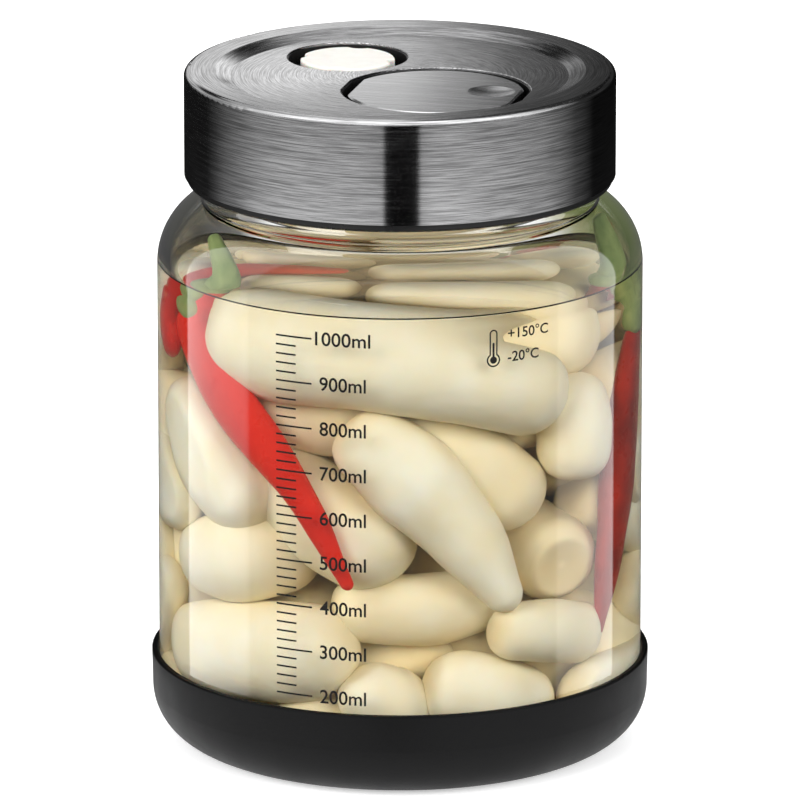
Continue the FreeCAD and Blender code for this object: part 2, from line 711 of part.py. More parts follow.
def check_document():
    """Stops if any object of the document failed to compute or any sketch is loose."""
    for item in doc.Objects:
        if "Invalid" in item.State or "Error" in item.State:
            raise RuntimeError(f"{item.Name} is {item.State}")
        if item.TypeId == "Sketcher::SketchObject" and not item.FullyConstrained:
            raise RuntimeError(f"{item.Name} isn't fully constrained")


def write_nodes(bodies):
    """Checks each piece, then writes it to its own file."""
    for body in bodies:
        shape = body.Shape
        if shape.isNull() or not shape.isValid() or len(shape.Solids) != 1:
            raise RuntimeError(f"{body.Label} isn't one valid solid")
    os.makedirs("parts", exist_ok=True)
    for body in bodies:
        body.Shape.exportStep(os.path.join("parts", f"{body.Label}.step"))
        print(f"{body.Label}: {body.Shape.Volume / 1000:.2f} cm3")


nodes = [
    make_base_sleeve(),
    make_glass_jar(),
    make_brine(),
    make_lid_shell(),
    make_lid_liner(),
    make_valve_cap(),
    make_flap_pin(),
    make_flap_core(),
    make_flap_plate(),
]
doc.recompute()
check_document()
write_nodes(nodes)
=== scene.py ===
import math

import bmesh
import bpy
import numpy as np
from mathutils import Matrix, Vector, noise


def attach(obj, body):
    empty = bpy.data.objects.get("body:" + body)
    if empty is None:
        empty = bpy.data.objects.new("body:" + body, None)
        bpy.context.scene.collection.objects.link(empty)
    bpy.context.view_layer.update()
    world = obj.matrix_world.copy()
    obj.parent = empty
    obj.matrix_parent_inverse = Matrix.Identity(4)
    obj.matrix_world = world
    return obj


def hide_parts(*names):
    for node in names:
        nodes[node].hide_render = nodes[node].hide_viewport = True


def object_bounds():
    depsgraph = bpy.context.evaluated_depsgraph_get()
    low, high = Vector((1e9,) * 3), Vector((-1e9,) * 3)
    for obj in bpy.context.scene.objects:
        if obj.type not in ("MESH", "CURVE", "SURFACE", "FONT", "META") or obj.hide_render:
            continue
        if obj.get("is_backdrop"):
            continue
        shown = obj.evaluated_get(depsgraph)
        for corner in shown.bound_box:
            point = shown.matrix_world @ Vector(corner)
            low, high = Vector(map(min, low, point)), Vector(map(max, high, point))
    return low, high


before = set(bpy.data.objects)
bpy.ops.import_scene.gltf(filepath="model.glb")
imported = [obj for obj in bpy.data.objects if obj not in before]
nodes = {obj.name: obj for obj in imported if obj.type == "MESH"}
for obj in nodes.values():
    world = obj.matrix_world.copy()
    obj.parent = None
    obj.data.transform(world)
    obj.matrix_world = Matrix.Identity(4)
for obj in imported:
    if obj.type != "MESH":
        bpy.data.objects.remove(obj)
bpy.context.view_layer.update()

MM = 0.001


# Base sleeve. A cup of black silicone, moulded in one piece and pulled over the foot of the jar,
# where it grips by its own stretch. Its skin is matt with a fine eggshell grain.

def add_node(tree, kind, inputs=None, out=0, **settings):
    """Adds a node, sets it, joins or fills its inputs, and gives back one of its outputs."""
    node = tree.nodes.new(kind)
    for name, value in settings.items():
        setattr(node, name, value)
    for name, value in (inputs or {}).items():
        if isinstance(value, bpy.types.NodeSocket):
            tree.links.new(value, node.inputs[name])
        else:
            node.inputs[name].default_value = value
    return node.outputs[out]


def start_finish(name, colour, roughness, **plain):
    """A new finish with the plain settings of its shader, its node tree and the shader."""
    finish = bpy.data.materials.new(name)
    finish.use_nodes = True
    tree = finish.node_tree
    shader = tree.nodes["Principled BSDF"]
    shader.inputs["Base Color"].default_value = (*colour, 1)
    shader.inputs["Roughness"].default_value = roughness
    for key, value in plain.items():
        shader.inputs[key.replace("_", " ")].default_value = value
    return finish, tree, shader


def position(tree):
    """Where a point is on the object, in metres."""
    return add_node(tree, "ShaderNodeTexCoord", out=3)


def speckle(tree, scale, detail=3.0, where=None, rough=0.5):
    """A soft random pattern from 0 to 1."""
    return add_node(tree, "ShaderNodeTexNoise",
                    {"Vector": where or position(tree), "Scale": scale, "Detail": detail,
                     "Roughness": rough})


def blend_range(tree, value, low, high):
    """Stretches the middle of a pattern to run from low to high."""
    return add_node(tree, "ShaderNodeMapRange",
                    {"Value": value, "From Min": 0.3, "From Max": 0.7, "To Min": low, "To Max": high})


def mix_colours(tree, share, first, second):
    """Goes from the first colour to the second with the share."""
    node = tree.nodes.new("ShaderNodeMix")
    node.data_type = "RGBA"
    for socket, value in zip((node.inputs[0], node.inputs[6], node.inputs[7]), (share, first, second)):
        if isinstance(value, bpy.types.NodeSocket):
            tree.links.new(value, socket)
        elif socket == node.inputs[0]:
            socket.default_value = value
        else:
            socket.default_value = (*value, 1)
    return node.outputs[2]


def roughen(tree, shader, height, depth):
    """Stands the skin up and down by a pattern, with the real depth in metres."""
    bump = add_node(tree, "ShaderNodeBump", {"Height": height, "Distance": depth, "Strength": 1.0})
    tree.links.new(bump, shader.inputs["Normal"])


def dress(node_name, finish):
    """Puts a finish on a part that keeps its own shape."""
    part = nodes[node_name]
    if not part.material_slots:
        part.data.materials.append(finish)
    for holder in part.material_slots:
        holder.material = finish


silicone, tree, shader = start_finish("black_silicone", (0.007, 0.007, 0.0075), 0.5,
                                      Specular_IOR_Level=0.14)
grain = speckle(tree, 2600, 4)
handling = speckle(tree, 45, 3)
tree.links.new(mix_colours(tree, handling, (0.002, 0.002, 0.0021), (0.004, 0.004, 0.0042)),
               shader.inputs["Base Color"])
tree.links.new(blend_range(tree, handling, 0.40, 0.56), shader.inputs["Roughness"])
roughen(tree, shader, grain, 0.00003)
dress("base_sleeve", silicone)


# Glass jar. Clear pressed glass, 3 mm thick, with a thick foot, a rounded shoulder and a neck whose
# single raised thread takes the lid. It is one piece and its skin is fire polished.

OUTSIDE, INSIDE = 57.5, 54.5
NECK_OUTSIDE, NECK_INSIDE = 45.5, 42.5
SHOULDER_MIDDLE = (40.5, 116.5)
TURN_STEPS = 320


def arc(centre, radius, start, end, steps):
    """Points of a profile along an arc, from one angle to another in degrees."""
    angles = [math.radians(start + (end - start) * k / steps) for k in range(steps + 1)]
    return [(centre[0] + radius * math.cos(a), centre[1] + radius * math.sin(a)) for a in angles]


def turned_mesh(name, profile, steps=TURN_STEPS, swell=None):
    """Turns a profile of (radius, height) in millimetres round the upright axis into a closed skin."""
    rings = []
    for radius, height in profile:
        if radius < 1e-6:
            rings.append([(0, 0, height * MM)])
            continue
        ring = []
        for k in range(steps):
            a = 2 * math.pi * k / steps
            r = (radius + (swell(a, height) if swell and swell_here(radius) else 0)) * MM
            ring.append((r * math.sin(a), -r * math.cos(a), height * MM))
        rings.append(ring)
    points, starts = [], []
    for ring in rings:
        starts.append(len(points))
        points.extend(ring)
    faces = []
    for i in range(len(rings) - 1):
        a, b = starts[i], starts[i + 1]
        for k in range(steps):
            n = (k + 1) % steps
            if len(rings[i]) == 1:
                faces.append((a, b + n, b + k))
            elif len(rings[i + 1]) == 1:
                faces.append((a + k, a + n, b))
            else:
                faces.append((a + k, a + n, b + n, b + k))
    mesh = bpy.data.meshes.new(name)
    mesh.from_pydata(points, [], faces)
    return settle_mesh(mesh)


def swell_here(radius):
    """Only the outside of the neck carries the thread."""
    return abs(radius - NECK_OUTSIDE) < 0.01


def settle_mesh(mesh):
    """Turns every face outwards and shades the skin smoothly."""
    work = bmesh.new()
    work.from_mesh(mesh)
    bmesh.ops.recalc_face_normals(work, faces=work.faces)
    work.to_mesh(mesh)
    work.free()
    mesh.polygons.foreach_set("use_smooth", [True] * len(mesh.polygons))
    mesh.update()
    return mesh


def new_piece(name, mesh, finish, body):
    """Links a piece, dresses it, and hangs it on its body."""
    piece = bpy.data.objects.new(name, mesh)
    bpy.context.scene.collection.objects.link(piece)
    if finish.name not in [m.name for m in mesh.materials if m]:
        mesh.materials.append(finish)
    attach(piece, body)
    return piece


THREAD_START, THREAD_PITCH, THREAD_STAND = 142.0, 6.0, 1.4
THREAD_HALF, THREAD_FLANK, THREAD_FADE = 1.2, 0.7, 0.04


def thread_height(angle, height):
    """How far the thread stands out of the neck, fading at both of its ends."""
    turn = (angle / (2 * math.pi)) % 1.0
    away = abs(height - THREAD_START - THREAD_PITCH * turn)
    slope = min(1.0, max(0.0, (THREAD_HALF - away) / THREAD_FLANK))
    ends = min(1.0, turn / THREAD_FADE, (1 - turn) / THREAD_FADE)
    return THREAD_STAND * slope * max(0.0, ends)


outside = [(0.0, 2.0), (20.0, 2.0), (44.0, 2.0)] + arc((46.5, 13.0), 11, -90, 0, 16)
outside += [(OUTSIDE, z) for z in (30, 50, 70, 90, 105)] + arc(SHOULDER_MIDDLE, 17, 0, 68.4, 40)
outside += arc((47.5, 134.164), 2, 248.4, 180, 10)
outside += [(NECK_OUTSIDE, 136.0 + 0.4 * k) for k in range(50)]
outside += arc((44.2, 157.2), 1.3, 0, 90, 6) + arc((43.5, 157.5), 1.0, 90, 180, 5)
inside = [(NECK_INSIDE, z) for z in (152, 145, 138)] + arc((47.5, 134.164), 5, 180, 248.4, 12)
inside += arc(SHOULDER_MIDDLE, 14, 68.4, 0, 36) + [(INSIDE, z) for z in (105, 90, 70, 50, 30)]
inside += arc((46.5, 14.0), 8, 0, -90, 14) + [(20.0, 6.0), (0.0, 6.0)]
jar_mesh = turned_mesh("jar_glass", outside + inside, swell=thread_height)


def let_lamps_through(tree, shader):
    """Clear matter throws no shadow of its own: lamps reach what lies behind it."""
    surface = tree.nodes["Material Output"].inputs["Surface"]
    path = add_node(tree, "ShaderNodeLightPath", out=1)
    clear = add_node(tree, "ShaderNodeBsdfTransparent", {"Color": (0.98, 0.98, 0.975, 1)})
    both = tree.nodes.new("ShaderNodeMixShader")
    tree.links.new(path, both.inputs[0])
    tree.links.new(shader.outputs[0], both.inputs[1])
    tree.links.new(clear, both.inputs[2])
    tree.links.new(both.outputs[0], surface)


clear_glass, tree, shader = start_finish(
    "clear_glass", (0.985, 0.995, 0.99), 0.0, Transmission_Weight=1.0, IOR=1.5)
waviness = speckle(tree, 28, 1)
roughen(tree, shader, waviness, 0.00004)
let_lamps_through(tree, shader)
jar_piece = new_piece("jar_glass", jar_mesh, clear_glass, "jar")
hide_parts("glass_jar")


# Printed scale. Black enamel ink, screened on the front of the glass and fired: marks every 20 ml,
# longer marks with their volume every 100 ml, and the temperatures that the glass stands.

INK_FOOT, INK_TOP = 57.51, 57.55
SCALE_FOOT, SCALE_STEP = 3.25, 10.84
MARK_LEFT, MARK_SHORT, MARK_LONG, MARK_WEIGHT = -30.2, -25.0, -21.0, 0.42
LABEL_MIDDLE, LABEL_HEIGHT, LABEL_WIDTH = -13.5, 3.4, 11.1
LOWEST_MARK = 23.0
LETTER_CAP = 0.73  # how tall a capital of the font is, where its line is 1 high
ink_work = bmesh.new()


def round_the_jar(along, height, out):
    """A place on the glass, from the distance round it, the height and the distance from the axis."""
    a = along / OUTSIDE
    return Vector((out * math.sin(a), -out * math.cos(a), height)) * MM


def ink_strip(outline_pairs, closed=False):
    """A flat strip of ink between two lines of points, each point (along, height)."""
    rows = []
    for one, two in outline_pairs:
        rows.append([ink_work.verts.new(round_the_jar(*p, out))
                     for p, out in ((one, INK_FOOT), (one, INK_TOP), (two, INK_TOP), (two, INK_FOOT))])
    spans = list(zip(rows, rows[1:])) + ([(rows[-1], rows[0])] if closed else [])
    for first, second in spans:
        for k in range(4):
            ink_work.faces.new((first[k], first[(k + 1) % 4], second[(k + 1) % 4], second[k]))
    if not closed:
        ink_work.faces.new(rows[0])
        ink_work.faces.new(rows[-1])


def ink_text(words, along, height, tall, wide=None, middle=True):
    """Letters of ink, fitted to a height and a width, wrapped round the glass."""
    curve = bpy.data.curves.new("letters", "FONT")
    curve.body = words
    curve.size = 1.0
    curve.resolution_u = 5
    curve.offset = 0.011
    letters = bpy.data.objects.new("letters", curve)
    bpy.context.scene.collection.objects.link(letters)
    bpy.context.view_layer.update()
    graph = bpy.context.evaluated_depsgraph_get()
    flat = bpy.data.meshes.new_from_object(letters.evaluated_get(graph))
    bpy.data.objects.remove(letters)
    xs = [v.co.x for v in flat.vertices]
    stretch = tall / LETTER_CAP
    narrow = stretch if wide is None else wide / (max(xs) - min(xs))
    left = along - (max(xs) + min(xs)) / 2 * narrow if middle else along - min(xs) * narrow
    low = height - LETTER_CAP * stretch / 2
    seen = {}
    for out in (INK_TOP, INK_FOOT):
        for v in flat.vertices:
            seen[out, v.index] = ink_work.verts.new(
                round_the_jar(left + v.co.x * narrow, low + v.co.y * stretch, out))
    edge_count = {}
    for face in flat.polygons:
        loop = list(face.vertices)
        ink_work.faces.new([seen[INK_TOP, i] for i in loop])
        ink_work.faces.new([seen[INK_FOOT, i] for i in reversed(loop)])
        for pair in zip(loop, loop[1:] + loop[:1]):
            edge_count[pair] = 1
    for one, two in edge_count:
        if (two, one) not in edge_count:
            ink_work.faces.new((seen[INK_TOP, two], seen[INK_TOP, one],
                                seen[INK_FOOT, one], seen[INK_FOOT, two]))
    bpy.data.meshes.remove(flat)
    bpy.data.curves.remove(curve)


for fifth in range(9, 51):
    height = SCALE_FOOT + SCALE_STEP * fifth / 5
    if height < LOWEST_MARK:
        continue
    end = MARK_LONG if fifth % 5 == 0 else MARK_SHORT
    steps = max(3, int(end - MARK_LEFT))
    places = [MARK_LEFT + (end - MARK_LEFT) * k / steps for k in range(steps + 1)]
    ink_strip([((s, height - MARK_WEIGHT / 2), (s, height + MARK_WEIGHT / 2)) for s in places])
    if fifth % 5 == 0:
        volume = fifth * 20
        wide = LABEL_WIDTH * (1.19 if volume > 999 else 1.0)
        ink_text(f"{volume}ml", LABEL_MIDDLE, height + 0.3, LABEL_HEIGHT, wide)


def bulb_outline(tube, bulb, top, along, foot, count=20):
    """The outline of a thermometer: a tube with a round head, standing on a round bulb."""
    join = math.asin(min(1.0, tube / bulb))
    line = []
    for k in range(count + 1):
        a = math.pi * k / count
        line.append((along + tube * math.cos(a), foot + top + tube * math.sin(a)))
    for k in range(2 * count + 1):
        a = math.pi / 2 + join + (2 * math.pi - 2 * join) * k / (2 * count)
        line.append((along + bulb * math.cos(a), foot + bulb * math.sin(a)))
    return line


GAUGE_ALONG, GAUGE_FOOT, TUBE_TOP, MERCURY_TOP = 22.25, 106.4, 6.3, 3.9
outer_line = bulb_outline(1.0, 1.68, TUBE_TOP, GAUGE_ALONG, GAUGE_FOOT)
inner_line = bulb_outline(0.66, 1.32, TUBE_TOP, GAUGE_ALONG, GAUGE_FOOT)
ink_strip(list(zip(outer_line, inner_line)), closed=True)
mercury = bulb_outline(0.26, 0.86, MERCURY_TOP, GAUGE_ALONG, GAUGE_FOOT)
mercury_core = [(GAUGE_ALONG, min(GAUGE_FOOT + MERCURY_TOP, max(GAUGE_FOOT, z))) for s, z in mercury]
ink_strip(list(zip(mercury, mercury_core)), closed=True)
ink_text("+150°C", 25.9, 112.45, 2.5, 11.0, middle=False)
ink_text("-20°C", 25.9, 106.9, 2.5, 8.3, middle=False)
bmesh.ops.remove_doubles(ink_work, verts=ink_work.verts, dist=1e-7)
ink_mesh = bpy.data.meshes.new("scale_print")
ink_work.to_mesh(ink_mesh)
ink_work.free()

ink, tree, shader = start_finish("fired_ink", (0.008, 0.008, 0.008), 0.5,
                                 Specular_IOR_Level=0.15)
tree.links.new(mix_colours(tree, speckle(tree, 900, 2), (0.003, 0.003, 0.003), (0.012, 0.011, 0.010)),
               shader.inputs["Base Color"])
tree.links.new(blend_range(tree, speckle(tree, 3000, 2), 0.45, 0.6), shader.inputs["Roughness"])
new_piece("scale_print", ink_mesh, ink, "jar")


# Brine. Salted and soured water that fills the jar to its shoulder, faintly straw coloured from the
# vegetables, with a small rise where it wets the glass. It reaches just into the wall, so no air shows.

BRINE_TOP, INTO_WALL = 115.7, 0.15
WETTING_REACH, WETTING_RISE = 3.0, 1.3
side = INSIDE + INTO_WALL
surface_line = [(0.0, BRINE_TOP), (30.0, BRINE_TOP), (46.0, BRINE_TOP)]
surface_line += [(side - WETTING_REACH * (1 - k / 10) ** 1.6, BRINE_TOP + WETTING_RISE * (k / 10) ** 2.2)
                 for k in range(11)]
brine_line = surface_line + [(side, z) for z in (110, 90, 70, 50, 30)]
brine_line += arc((46.5, 14.0), 8 + INTO_WALL, 0, -90, 14) + [(20.0, 5.85), (0.0, 5.85)]
brine_mesh = turned_mesh("brine_liquid", brine_line)

brine_finish, tree, shader = start_finish(
    "pickling_brine", (0.995, 0.985, 0.95), 0.0, Transmission_Weight=1.0, IOR=1.33)
roughen(tree, shader, speckle(tree, 60, 1), 0.00002)
let_lamps_through(tree, shader)
tint = add_node(tree, "ShaderNodeVolumeAbsorption", {"Color": (0.97, 0.79, 0.45, 1), "Density": 15.0})
tree.links.new(tint, tree.nodes["Material Output"].inputs["Volume"])
brine_piece = new_piece("brine_liquid", brine_mesh, brine_finish, "jar")
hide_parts("brine")


# Red chillies. Whole ripe peppers with their green caps and stalks still on, slipped in between the
# shoots. The skin is glossy and full red, and a little creased near the cap.

def smooth_line(points, count):
    """A smooth line through or near some points, as evenly counted places."""
    pts = [np.array(p, float) for p in points]
    if len(pts) == 2:
        pts = [pts[0], (pts[0] + pts[1]) / 2, pts[1]]
    pts = [2 * pts[0] - pts[1]] + pts + [2 * pts[-1] - pts[-2]]
    spans = len(pts) - 3
    line = []
    for k in range(count):
        u = k / (count - 1) * spans
        i = min(int(u), spans - 1)
        t = u - i
        a, b, c, d = pts[i:i + 4]
        line.append(0.5 * (2 * b + (c - a) * t + (2 * a - 5 * b + 4 * c - d) * t * t
                           + (3 * b - a - 3 * c + d) * t ** 3))
    return line


WALL_REACH = 54.3


def plump_body(points, widths, seed, lump=0.05, ends=(2.2, 2.0), rings=44, sides=30, crater=0.0,
               flutes=0.0, flat=1.0):
    """A rounded body along a line, pressed flat where it meets the glass. Gives its points, faces and
    how far along each point lies."""
    line = smooth_line(points, rings)
    reach = np.concatenate([[0], np.cumsum([np.linalg.norm(b - a) for a, b in zip(line, line[1:])])])
    whole = reach[-1]
    places, faces, share = [], [], []
    side_way = None
    tight = [0.5 - 0.5 * math.cos(math.pi * k / (rings - 1)) for k in range(rings)]
    for k in range(rings):
        far = tight[k] * whole
        i = min(int(np.searchsorted(reach, far, side="right")) - 1, rings - 2)
        t = (far - reach[i]) / max(reach[i + 1] - reach[i], 1e-9)
        centre = line[i] * (1 - t) + line[i + 1] * t
        outward = np.array([centre[0], centre[1], 0.0]) / max(math.hypot(centre[0], centre[1]), 1.0)
        along = line[i + 1] - line[i]
        along = along / np.linalg.norm(along)
        if side_way is None:
            side_way = np.cross(along, [0.31, 0.2, 0.93])
        side_way = side_way - along * np.dot(side_way, along)
        side_way = side_way / np.linalg.norm(side_way)
        other = np.cross(along, side_way)
        u = tight[k] * (len(widths) - 1)
        j = min(int(u), len(widths) - 2)
        f = u - j
        f = f * f * (3 - 2 * f) * 0.5 + f * 0.5
        wide = widths[j] * (1 - f) + widths[j + 1] * f
        near_start = min(1.0, far / max(widths[0] * 0.95, 0.1))
        near_end = min(1.0, (whole - far) / max(widths[-1] * 0.95, 0.1))
        wide *= (1 - (1 - near_start) ** ends[0]) ** (1 / ends[0])
        wide *= (1 - (1 - near_end) ** ends[1]) ** (1 / ends[1])
        for s in range(sides):
            a = 2 * math.pi * s / sides
            way = side_way * math.cos(a) + other * math.sin(a)
            spot = Vector(centre * 0.045 + way * 0.5) + Vector((seed * 7.3, seed * 3.1, 0))
            bulge = 1 + lump * noise.noise(spot * 1.0) * 2 + lump * 0.5 * noise.noise(spot * 2.7)
            bulge += flutes * math.cos(5 * a + 2.2 * tight[k])
            offset = way * wide * bulge
            offset = offset - outward * np.dot(offset, outward) * (1 - flat)
            place = centre + offset
            if crater and near_start < 1:
                dip = max(0.0, 1 - (wide / (0.7 * widths[0])) ** 2)
                place = place + along * crater * dip
            away = math.hypot(place[0], place[1])
            if away > WALL_REACH:
                place = place * np.array([WALL_REACH / away, WALL_REACH / away, 1.0])
            places.append(place * MM)
            share.append(tight[k])
    for k in range(rings - 1):
        for s in range(sides):
            n = (s + 1) % sides
            faces.append((k * sides + s, k * sides + n, (k + 1) * sides + n, (k + 1) * sides + s))
    return places, faces, share


def join_bodies(name, bodies, tones, sides):
    """One mesh of many bodies, each with its own tone, which for one chilli is painted shade, and each
    point with its share of the length.
    """
    points, faces, share, tone = [], [], [], []
    for (places, skins, along), shade in zip(bodies, tones):
        start = len(points)
        points.extend([tuple(p) for p in places])
        faces.extend([tuple(start + i for i in f) for f in skins])
        faces.append(tuple(start + i for i in reversed(range(sides))))
        last = start + len(places) - sides
        faces.append(tuple(last + i for i in range(sides)))
        share.extend(along)
        tone.extend([shade] * len(along))
    mesh = bpy.data.meshes.new(name)
    mesh.from_pydata(points, [], faces)
    mesh.attributes.new("length_share", "FLOAT", "POINT").data.foreach_set("value", share)
    mesh.attributes.new("own_tone", "FLOAT", "POINT").data.foreach_set("value", tone)
    return settle_mesh(mesh)


CHILLIES = [
    ([(-44.5, -15, 110), (-43.5, -19, 103), (-37.5, -31.5, 92), (-23, -46, 73), (-11.3, -51, 50.5)],
     [5.6, 6.6, 5.6, 3.5, 1.5]),
    ([(49, -4, 103), (48, -8, 89), (47, -13, 70), (45.5, -19, 50), (44, -25.5, 32)],
     [5.0, 7.0, 7.4, 5.2, 1.4]),
    ([(-12, 2.5, 111.5), (-24, 2, 111.3), (-38, 0, 109.5), (-48, -6, 104), (-48.5, -14, 98)],
     [2.4, 4.4, 5.2, 5.8, 5.2]),
    ([(22, 44, 92), (32, 38, 80), (40, 31, 62), (44, 25, 46)], [5.0, 5.6, 4.6, 2.0]),
    ([(-20, 46, 64), (-32, 39, 55), (-44, 25, 40), (-49, 12, 30)], [5.0, 5.4, 4.4, 2.0]),
]
CHILLI_SIDES = 24
chilli_bodies = [plump_body(line, widths, 90 + k, lump=0.06, ends=(2.0, 1.8), sides=CHILLI_SIDES,
                            flutes=0.012, flat=0.74)
                 for k, (line, widths) in enumerate(CHILLIES)]
# Painted shade: the second chilli, at the right edge, gets tone 1.0 and so the darkest red, in place of
# the shade it lies in.
chilli_mesh = join_bodies("red_chillies", chilli_bodies, [0.1, 1.0, 0.35, 0.4, 0.5], CHILLI_SIDES)
chilli_skin, tree, shader = start_finish(
    "chilli_skin", (0.62, 0.03, 0.015), 0.3, Specular_IOR_Level=0.35)
own = add_node(tree, "ShaderNodeAttribute", out=2, attribute_name="own_tone")
# The darker red of this mix is painted shade; only the shaded chilli reaches it.
red = mix_colours(tree, own, (0.74, 0.020, 0.009), (0.22, 0.007, 0.004))
red = mix_colours(tree, blend_range(tree, speckle(tree, 120, 3), 0.0, 0.35), red, (0.80, 0.038, 0.012))
tree.links.new(red, shader.inputs["Base Color"])
tree.links.new(blend_range(tree, speckle(tree, 260, 2), 0.24, 0.4), shader.inputs["Roughness"])
roughen(tree, shader, speckle(tree, 380, 3), 0.0002)
new_piece("red_chillies", chilli_mesh, chilli_skin, "jar")


# Green caps and stalks of the chillies. A short flared cap that clasps the pepper, and a ribbed stalk
# that bends away from it and thickens where it was picked.

STALKS = [
    [(-44.3, -15.5, 107.5), (-43.2, -17, 112), (-40.2, -20.5, 117.5), (-43, -16, 126)],
    [(49, -4, 101), (50, -4.5, 107), (50.3, -3, 116), (46, -2, 127)],
    [(22.8, 43.4, 91), (19, 45.0, 95.5), (10, 47.5, 98), (4, 48.5, 97)],
    [(-21, 45.6, 63.6), (-15, 47.6, 66), (-8, 49.0, 71), (-5, 49.5, 75)],
]
stalk_bodies = []
for k, line in enumerate(STALKS):
    cap = [line[0], line[1], [line[1][i] * 0.6 + line[2][i] * 0.4 for i in range(3)]]
    stalk_bodies.append(plump_body(cap, [5.6, 5.2, 2.4], 120 + k, lump=0.05, ends=(3.5, 2),
                                   sides=CHILLI_SIDES, flutes=0.05))
    stalk_bodies.append(plump_body(line[1:], [4.2, 3.5, 2.5, 1.5], 130 + k, lump=0.06, ends=(2, 3.5),
                                   sides=CHILLI_SIDES, flutes=0.05))
stalk_mesh = join_bodies("chilli_stalks", stalk_bodies, [0.3, 0.4, 0.5, 0.6, 0.2, 0.5, 0.4, 0.6],
                         CHILLI_SIDES)
stalk_finish, tree, shader = start_finish(
    "chilli_stalk_green", (0.24, 0.31, 0.12), 0.45, Specular_IOR_Level=0.35)
own = add_node(tree, "ShaderNodeAttribute", out=2, attribute_name="own_tone")
green = mix_colours(tree, own, (0.20, 0.28, 0.08), (0.14, 0.20, 0.08))
green = mix_colours(tree, blend_range(tree, speckle(tree, 250, 4), 0.0, 1.0), green, (0.29, 0.35, 0.13))
tree.links.new(green, shader.inputs["Base Color"])
roughen(tree, shader, speckle(tree, 700, 3), 0.0003)
new_piece("chilli_stalks", stalk_mesh, stalk_finish, "jar")


# Pickled vegetables. Whole white shoots, plump and tapering, each with a cut blunt end and a softer
# tip, packed by hand until they hold each other under the brine. No two are the same.

# The shoots that show at the front: the line of each, then its half widths along it.
FRONT_SHOOTS = [
    ([(-39.5, -19.5, 105.5), (-27, -31, 104), (-8, -40.5, 103.5), (15, -40, 99), (35, -28, 91)],
     [9.5, 11.5, 11.5, 10.5, 10.5]),
    ([(-13, -42, 88), (0, -42.5, 78), (13, -42, 63), (25.5, -42, 43.5)], [8.2, 10.8, 8.6, 3.8]),
    ([(-10, -28, 88), (9, -30, 80), (28, -26, 63)], [9, 11, 9.5]),
    ([(-27, -22, 76), (-14, -33, 63), (2, -38, 54)], [9, 11.5, 11.5]),
    ([(-46, -12, 48), (-32, -25, 52), (-16, -26, 55)], [7.5, 11.5, 9]),
    ([(-46, -9, 90), (-40, -21, 76), (-28, -30, 62)], [8, 11.5, 9.5]),
    ([(-47, -8, 25), (-34, -24, 29), (-20, -36, 32), (-9, -40, 34)], [9, 12.4, 12.4, 10.5]),
    ([(-15, -33, 42), (5, -34, 42.5), (24, -24, 45)], [7.5, 8.8, 7]),
    ([(36, -28.5, 49.5), (25, -12, 53), (14, 5, 56)], [10.2, 10.5, 8]),
    ([(20, -42, 37.5), (31, -34, 36), (42, -20, 31)], [6.6, 7.8, 7.5]),
    ([(-10, -42, 29), (-4, -41, 21), (4, -33, 16)], [7.5, 9.5, 8]),
    ([(5, -42, 26), (18, -37.5, 22), (31, -26, 16)], [9, 9.8, 7.5]),
    ([(36.5, -24.5, 70), (37.5, -23, 82), (35, -22, 96)], [9.5, 9.5, 8]),
    ([(-8.5, -17, 104.4), (14, -19.0, 104.5), (41, -15, 103)], [9.5, 10.5, 9.5]),
    ([(45, -5, 41), (45, 8, 34), (40, 22, 28)], [8, 9, 7]),
    ([(-38, -7, 103.5), (-22, -10, 104.5), (-9, -9, 104)], [8, 9, 8]),
    ([(-8, 9, 104.6), (14, 9, 104.6), (38, 7, 103.5)], [9.5, 10.6, 9]),
    ([(-38, 21, 103), (-20, 24, 104.5), (-6, 28, 104)], [8, 9, 8]),
    ([(-14, 43, 103), (6, 44, 103), (23, 37, 102)], [7, 8.5, 7]),
    ([(42, 14, 102), (38, 26, 100), (28, 38, 90)], [7.5, 8.5, 7]),
    ([(-30, -20, 90), (-12, -27, 88), (4, -27, 89)], [9, 10, 8]),
]

rng = np.random.default_rng(17)
heap = []
for layer, (low, count) in enumerate([(16, 11), (34, 12), (52, 12), (70, 12), (88, 11)]):
    for k in range(count):
        around = math.radians(70 + (360 - 140) * (k + 0.5 + rng.uniform(-0.3, 0.3)) / count)
        far = rng.uniform(34, 44) if k % 2 else rng.uniform(4, 24)
        middle = np.array([far * math.sin(around), -far * math.cos(around), low + rng.uniform(-5, 5)])
        way = np.array([math.cos(around), math.sin(around), rng.uniform(-0.7, 0.7)])
        way += rng.uniform(-0.35, 0.35, 3)
        heap.append((middle, way / np.linalg.norm(way), rng.uniform(20, 30), rng.uniform(8.5, 11.5)))

# The rest is a heap. Each loose shoot counts as a row of five balls, pushed off its neighbours, the
# glass, the foot and the brine's surface until they lie free of each other.
SPHERES = 5
PACK_STEPS = 160
PACK_RADIUS, PACK_FLOOR, PACK_TOP = 53.6, 7.0, 113.0
WALL_PUSH = 1.5
fixed_spots, fixed_sizes = [], []
stalk_lines = [(line, [5.0, 3.0]) for line in STALKS]
for line, widths in FRONT_SHOOTS + CHILLIES + stalk_lines:
    places = smooth_line(line, 9)
    for k, place in enumerate(places):
        fixed_spots.append(place)
        fixed_sizes.append(np.interp(k / 8, np.linspace(0, 1, len(widths)), widths))
fixed_spots, fixed_sizes = np.array(fixed_spots), np.array(fixed_sizes)
middles = np.array([h[0] for h in heap])
ways = np.array([h[1] for h in heap])
halves = np.array([h[2] for h in heap])
fats = np.array([h[3] for h in heap])
steps_along = np.linspace(-1, 1, SPHERES)
fat_along = np.array([0.8, 1.0, 1.0, 0.9, 0.7])
sizes = (fats[:, None] * fat_along).ravel()
owner = np.repeat(np.arange(len(heap)), SPHERES)
